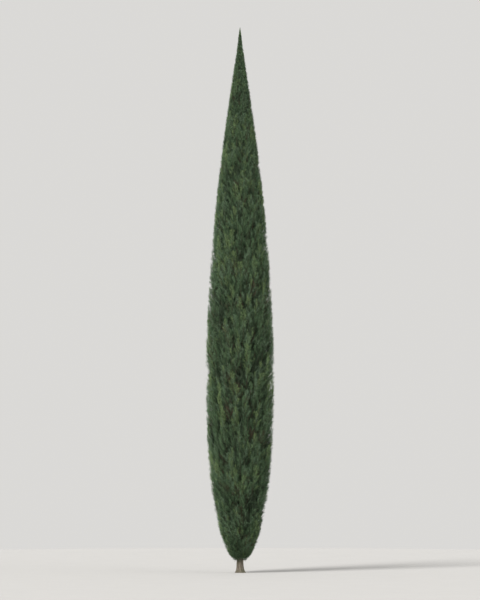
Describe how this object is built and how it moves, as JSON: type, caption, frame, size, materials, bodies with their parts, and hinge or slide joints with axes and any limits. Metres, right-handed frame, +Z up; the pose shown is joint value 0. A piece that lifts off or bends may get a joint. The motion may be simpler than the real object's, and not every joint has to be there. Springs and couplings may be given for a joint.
{
  "type": "pencil cypress tree",
  "caption": "Tall, slender evergreen tree: a dense, pointed, spindle-shaped crown of upright sprays on a short bare trunk rooted in level ground.",
  "frame": {"origin": "centre of the flat cut under the trunk, at ground level", "axes": "+Z straight up along the trunk, +X to the right and +Y away from the viewer in the drawing"},
  "size_m": [1.4778, 1.4734, 12],
  "materials": {
    "bark": "rough, fibrous bark",
    "foliage": "matt dark green scale leaves"
  },
  "bodies": {
    "root": {"trunk": "bark", "bough_1a": "bark", "foliage_1a": "foliage", "bough_1b": "bark", "foliage_1b": "foliage", "bough_1c": "bark", "foliage_1c": "foliage", "bough_1d": "bark", "foliage_1d": "foliage", "bough_2a": "bark", "foliage_2a": "foliage", "bough_2b": "bark", "foliage_2b": "foliage", "bough_2c": "bark", "foliage_2c": "foliage", "bough_2d": "bark", "foliage_2d": "foliage", "bough_3a": "bark", "foliage_3a": "foliage", "bough_3b": "bark", "foliage_3b": "foliage", "bough_3c": "bark", "foliage_3c": "foliage", "bough_3d": "bark", "foliage_3d": "foliage", "bough_4a": "bark", "foliage_4a": "foliage", "bough_4b": "bark", "foliage_4b": "foliage", "bough_4c": "bark", "foliage_4c": "foliage", "bough_4d": "bark", "foliage_4d": "foliage", "bough_5a": "bark", "foliage_5a": "foliage", "bough_5b": "bark", "foliage_5b": "foliage", "bough_5c": "bark", "foliage_5c": "foliage", "bough_5d": "bark", "foliage_5d": "foliage", "bough_6a": "bark", "foliage_6a": "foliage", "bough_6b": "bark", "foliage_6b": "foliage", "bough_6c": "bark", "foliage_6c": "foliage", "bough_6d": "bark", "foliage_6d": "foliage", "bough_7a": "bark", "foliage_7a": "foliage", "bough_7b": "bark", "foliage_7b": "foliage", "bough_7c": "bark", "foliage_7c": "foliage", "bough_7d": "bark", "foliage_7d": "foliage", "foliage_tip": "foliage"}
  },
  "joints": []
}
